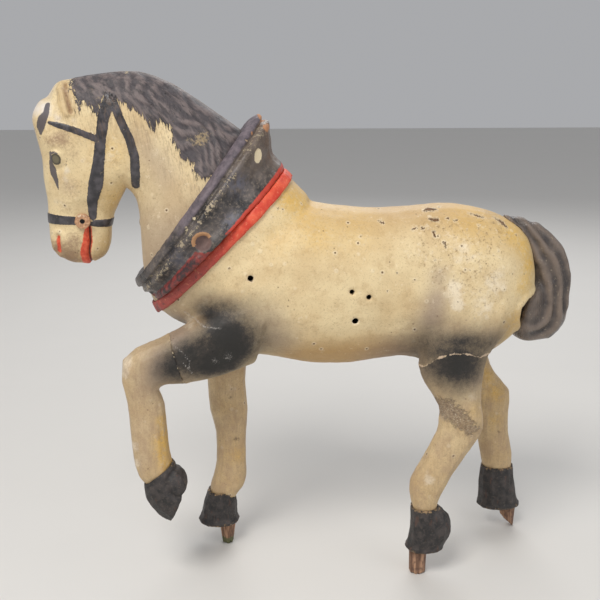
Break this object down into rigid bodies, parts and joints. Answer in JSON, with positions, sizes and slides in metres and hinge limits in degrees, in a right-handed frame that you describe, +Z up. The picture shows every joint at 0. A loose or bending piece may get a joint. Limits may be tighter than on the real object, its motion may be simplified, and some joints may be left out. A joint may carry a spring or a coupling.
{
  "type": "toy horse",
  "caption": "Moulded hollow toy draught horse with a collar, on carved wooden legs whose pegs plug into a base.",
  "frame": {"origin": "middle of the box round the whole horse, at the tips of its pegs", "axes": "+Z up, -X the way the horse faces, -Y its near (left) side"},
  "size_m": [0.2922, 0.076, 0.2799],
  "materials": {
    "painted_shell": "satin",
    "black_collar": "gloss",
    "red_band": "satin",
    "grey_tail": "satin",
    "painted_wood": "satin",
    "black_hoof": "matte",
    "bare_wood": "raw",
    "iron_nail": "rusty",
    "ochre_boss": "satin"
  },
  "bodies": {
    "root": {"near_body_half": "painted_shell", "off_body_half": "painted_shell", "near_head_half": "painted_shell", "off_head_half": "painted_shell", "horse_collar": "black_collar", "collar_band": "red_band", "tail": "grey_tail", "near_fore_leg": "painted_wood", "off_fore_leg": "painted_wood", "near_hind_leg": "painted_wood", "off_hind_leg": "painted_wood", "near_fore_hoof": "black_hoof", "off_fore_hoof": "black_hoof", "near_hind_hoof": "black_hoof", "off_hind_hoof": "black_hoof", "chest_block": "bare_wood", "hip_block": "bare_wood", "neck_plug": "bare_wood", "leg_nails": "iron_nail", "bit_bosses": "ochre_boss"}
  },
  "joints": []
}
